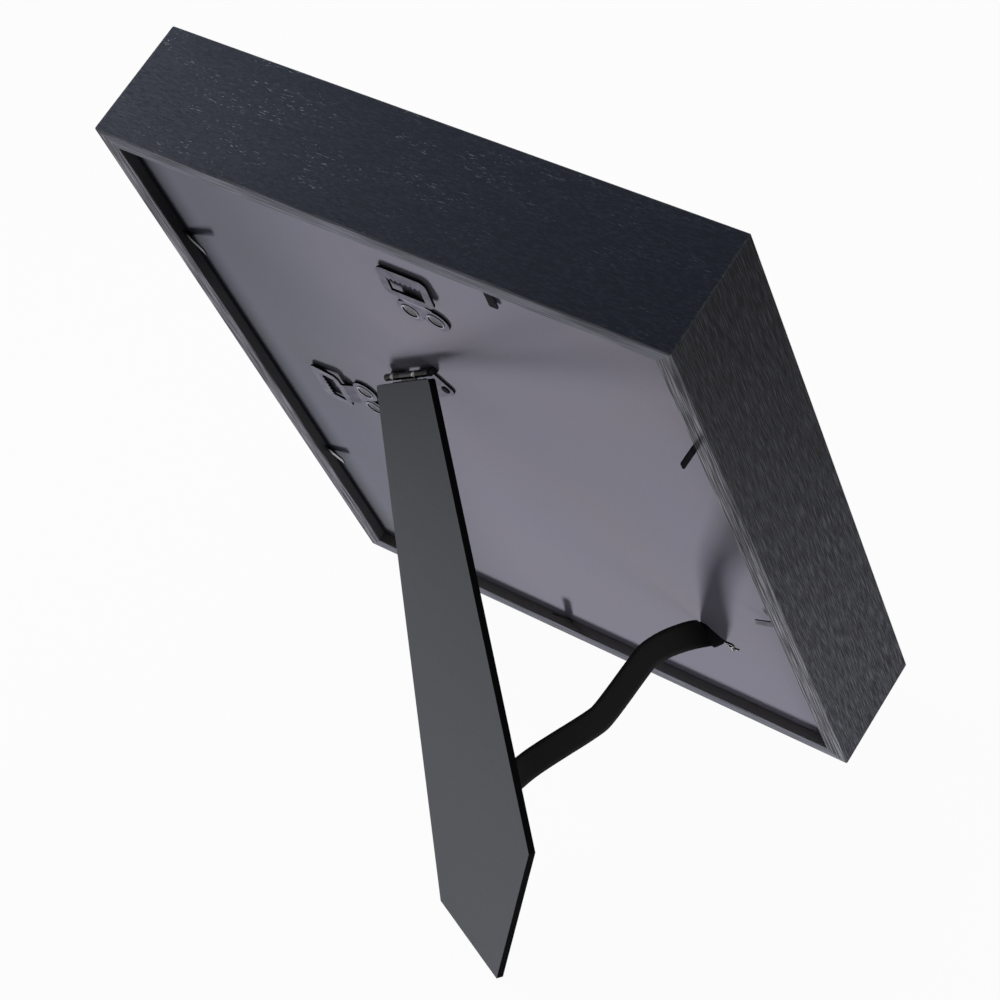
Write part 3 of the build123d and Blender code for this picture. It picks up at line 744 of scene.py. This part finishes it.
# %% Ribbon course
RIBBON_WIDTH, RIBBON_THICKNESS = 0.0100, 0.0005
RIBBON_REACH, RIBBON_SIDE = 0.1460, 0.0010
PIN_HEIGHT = 0.0024
COURSE_ORDER, COURSE_STEPS = 3, 12
half_opening = rest_opening / 2
middle_way = swing(half_opening)
chord_way = (back_out * math.cos(half_opening) - fold_way * math.sin(half_opening)).normalized()
chord_span = 2 * RIBBON_REACH * math.sin(half_opening)
ribbon_start = pin_middle + pin_way * RIBBON_SIDE + fold_way * RIBBON_REACH - back_out * PIN_HEIGHT
# Each place on the course is shares of the straight span: along it, aside and upwards
RIBBON_COURSE = (
    (-0.02, 0.0, 0.0), (0.02, 0.003, 0.006), (0.06, 0.03, 0.04), (0.12, 0.043, 0.067), (0.2, 0.045, 0.09),
    (0.27, 0.04, 0.095), (0.31, 0.036, 0.083), (0.5, 0.022, 0.016), (0.545, 0.019, 0.01), (0.74, -0.003, 0.02),
    (0.83, -0.012, 0.02), (0.93, -0.008, 0.008), (1.0, 0.0, 0.0), (1.013, 0.0, 0.0),
)
curve = bpy.data.curves.new("ribbon_course", "CURVE")
curve.dimensions = "3D"
spline = curve.splines.new("NURBS")
spline.points.add(len(RIBBON_COURSE) - 1)
for point, (along, aside, rise) in zip(spline.points, RIBBON_COURSE):
    at = ribbon_start + (chord_way * along + pin_way * aside - middle_way * rise) * chord_span
    point.co = (*at, 1)
spline.order_u = COURSE_ORDER
spline.use_endpoint_u = True
spline.resolution_u = COURSE_STEPS
course_object = bpy.data.objects.new("ribbon_course", curve)
bpy.context.scene.collection.objects.link(course_object)
course_mesh = bpy.data.meshes.new_from_object(course_object.evaluated_get(bpy.context.evaluated_depsgraph_get()))
course = [v.co.copy() for v in course_mesh.vertices]
bpy.data.objects.remove(course_object)
bpy.data.meshes.remove(course_mesh)

# %% Ribbon strip
SELVEDGE, THINNEST, ACROSS_POINTS = 0.0006, 0.02, 13


def opening_at(point):
    """The angle from the panel, about the pin, at which a point lies."""
    arm = point - pin_middle
    return math.atan2(arm.dot(back_out), arm.dot(fold_way))


across_shares = np.linspace(-1, 1, ACROSS_POINTS)
strip_points, strip_faces = [], []
for index, at in enumerate(course):
    ahead = course[min(index + 1, len(course) - 1)] - course[max(index - 1, 0)]
    ahead.normalize()
    wide = swing(opening_at(at))
    wide = (wide - ahead * wide.dot(ahead)).normalized()
    thick = ahead.cross(wide)
    for face in (1, -1):
        for spot in across_shares[::face]:
            edge = max(0.0, abs(spot) * RIBBON_WIDTH / 2 - (RIBBON_WIDTH / 2 - SELVEDGE)) / SELVEDGE
            bulge = RIBBON_THICKNESS / 2 * math.sqrt(max(THINNEST, 1 - edge * edge))
            strip_points.append(at + wide * (spot * RIBBON_WIDTH / 2) + thick * (face * bulge))
ring = 2 * len(across_shares)
for index in range(len(course) - 1):
    base = index * ring
    for k in range(ring):
        strip_faces.append((base + k, base + (k + 1) % ring, base + ring + (k + 1) % ring, base + ring + k))
strip_faces += [tuple(range(ring)), tuple(range((len(course) - 1) * ring, len(course) * ring))]
print("ribbon points", len(strip_points))

# %% Satin
SATIN_THREAD = {"Length": 0.25, "Width": 0.25, "Low": 0.3, "High": 0.7}
SATIN_DARK, SATIN_PALE = (0.002, 0.002, 0.0022, 1), (0.005, 0.005, 0.0055, 1)
SATIN_ROUGH, SATIN_GLOSS = (0.3, 0.7, 0.5, 0.7), 0.1
SATIN_DEPTH, SATIN_STRENGTH = 0.00005, 0.7
satin, satin_tree, satin_shader = new_material("ribbon_satin")
satin_at = put(satin_tree, "ShaderNodeTexCoord")["Object"]
satin_place = vectors(satin_tree, "MULTIPLY", satin_at, (TO_MM, TO_MM, TO_MM))
threads = use(satin_tree, grain_group, {"Vector": satin_place, **SATIN_THREAD})
coat(satin_tree, satin_shader, {
    "Base Color": mix(satin_tree, threads["Mask"], SATIN_DARK, SATIN_PALE),
    "Roughness": ramp(satin_tree, threads["Raw"], *SATIN_ROUGH),
    "Specular IOR Level": SATIN_GLOSS,
})
bump(satin_tree, satin_shader, threads["Raw"], SATIN_DEPTH, SATIN_STRENGTH)
print("satin material", satin.name)

# %% Ribbon piece
ribbon = new_piece("satin_ribbon", strip_points, strip_faces, satin, None)
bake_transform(ribbon)
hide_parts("ribbon")
dress("ribbon_strut_end", satin, ease=0.00015)

# %% Frayed end at the slit
THREAD_RADIUS, SIDES = 0.00025, 6
# Courses in millimetres from the slit's lower end: along the slit, and aside
THREAD_COURSES = (
    ((-1.5, 0.4), (0.6, 0.6), (2.2, 0.2), (3.4, 0.6), (5.2, -0.6)),
    ((3.2, 0.5), (4.2, 2.0), (4.6, 3.4)),
    ((0.2, 0.6), (1.4, 2.8), (2.6, 2.6), (3.0, 0.6)),
)
slit_end = ribbon_start + fold_way * (RIBBON_WIDTH / 2) + back_out * THREAD_RADIUS
thread_points, thread_faces = [], []
for thread in THREAD_COURSES:
    spots = [slit_end + (fold_way * along + pin_way * aside) / TO_MM for along, aside in thread]
    for index, at in enumerate(spots):
        ahead = (spots[min(index + 1, len(spots) - 1)] - spots[max(index - 1, 0)]).normalized()
        aside_way = back_out.cross(ahead).normalized()
        base = len(thread_points)
        last = base - SIDES
        for k in range(SIDES):
            angle = math.tau * k / SIDES
            thread_points.append(at + (aside_way * math.cos(angle) + back_out * math.sin(angle)) * THREAD_RADIUS)
        if index:
            turns = [(k, (k + 1) % SIDES) for k in range(SIDES)]
            thread_faces += [(last + k, last + after, base + after, base + k) for k, after in turns]
    thread_faces.append(tuple(range(len(thread_points) - SIDES, len(thread_points))))
new_piece("frayed_threads", thread_points, thread_faces, satin, "frame")
print("loose threads", len(THREAD_COURSES))

# %% [markdown]
# ## Table
# The object stands on a plain white table, which keeps a soft shadow of it. A white material alone would show as
# grey in the shade, so the table glows white for the camera, by a share, and gives reflections less of that white.
# It throws no shadow, because the main lamp below shines through it.

# %% Table
FLOOR = 4.0
SEEN_WHITE, MIRRORED_WHITE = 0.96, 0.3
TABLE_TONE, TABLE_ROUGH = (0.5, 0.5, 0.51, 1), 0.7
floor_mesh = bpy.data.meshes.new("table")
floor_corners = [(x * FLOOR, y * FLOOR, 0) for x, y in ((-1, -1), (1, -1), (1, 1), (-1, 1))]
floor_mesh.from_pydata(floor_corners, [], [(0, 1, 2, 3)])
table = bpy.data.objects.new("table", floor_mesh)
bpy.context.scene.collection.objects.link(table)
table.visible_shadow = False
table_white, table_tree, table_shader = new_material("table_white")
coat(table_tree, table_shader, {"Base Color": TABLE_TONE, "Roughness": TABLE_ROUGH})
glow = put(table_tree, "ShaderNodeEmission", {"Color": (1, 1, 1, 1), "Strength": 1.0})[0]
rays = put(table_tree, "ShaderNodeLightPath")
seen = maths(table_tree, "MAXIMUM", rays["Is Camera Ray"], rays["Is Transmission Ray"])
seen = maths(table_tree, "MULTIPLY", seen, SEEN_WHITE)
mirrored = maths(table_tree, "MULTIPLY", rays["Is Glossy Ray"], MIRRORED_WHITE)
blend_amount = maths(table_tree, "MAXIMUM", seen, mirrored)
blended = put(table_tree, "ShaderNodeMixShader", {0: blend_amount, 1: table_shader.outputs[0], 2: glow})[0]
table_tree.links.new(blended, table_tree.nodes["Material Output"].inputs["Surface"])
floor_mesh.materials.append(table_white)
print("table", 2 * FLOOR, "m wide")

# %% [markdown]
# ## Light
# In the photograph the panel is lit from low down on its left, so raised things throw their shadow up and to the
# right, and each outer face is brighter toward one end. One far lamp below the table lights the panel. Small lamps
# near the frame make the soft changes along the top rail, the side rail and the strut. The strut's lamp is linked
# to the strut alone, as if a card kept it off the panel. A large lamp lights the front. The background is white
# for the camera, and gives the rest only a little light.

# %% Lamps
# Each lamp's place, the point it is aimed at, its size in metres and its power in watts
LAMPS = {
    "key_below": ((1.84, 0.17, -3.64), (0, 0.04, 0.12), 0.7, 350.0),
    "side_box": ((-0.28, -0.02, -0.03), (-0.11, 0.0, 0.05), 0.15, 0.52),
    "corner_box": ((0.45, 0.06, 0.5), (0.08, 0.09, 0.26), 0.25, 2.5),
    "front_box": ((0.7, -1.3, 0.8), (0, 0, 0.12), 0.9, 12.0),
    "strut_box": ((-0.02, 0.31, 0.01), (-0.06, 0.09, 0.02), 0.15, 0.32),
}
lamps = {}
for name, (place, target, size, power) in LAMPS.items():
    lamp_data = bpy.data.lights.new(name, "AREA")
    lamp_data.size = size
    lamp_data.energy = power
    lamps[name] = bpy.data.objects.new(name, lamp_data)
    lamps[name].location = place
    lamps[name].rotation_euler = (Vector(target) - Vector(place)).to_track_quat("-Z", "Y").to_euler()
    lamps[name].visible_camera = False
    bpy.context.scene.collection.objects.link(lamps[name])
strut_only = bpy.data.collections.new("strut_only")
strut_only.objects.link(nodes["strut"])
lamps["strut_box"].light_linking.receiver_collection = strut_only
print("lamps", sorted(lamps))

# %% Sky
SKY_LIGHT, SKY_SEEN = 0.12, 1.0
world = bpy.data.worlds.new("studio")
bpy.context.scene.world = world
world.use_nodes = True
sky_tree = world.node_tree
sky_rays = put(sky_tree, "ShaderNodeLightPath")
sky_seen = maths(sky_tree, "MAXIMUM", sky_rays["Is Camera Ray"], sky_rays["Is Transmission Ray"])
coat(sky_tree, sky_tree.nodes["Background"], {
    "Color": (1, 1, 1, 1), "Strength": ramp(sky_tree, sky_seen, 0.0, 1.0, SKY_LIGHT, SKY_SEEN),
})
bpy.context.scene.view_settings.view_transform = "Standard"
print("sky light", SKY_LIGHT)
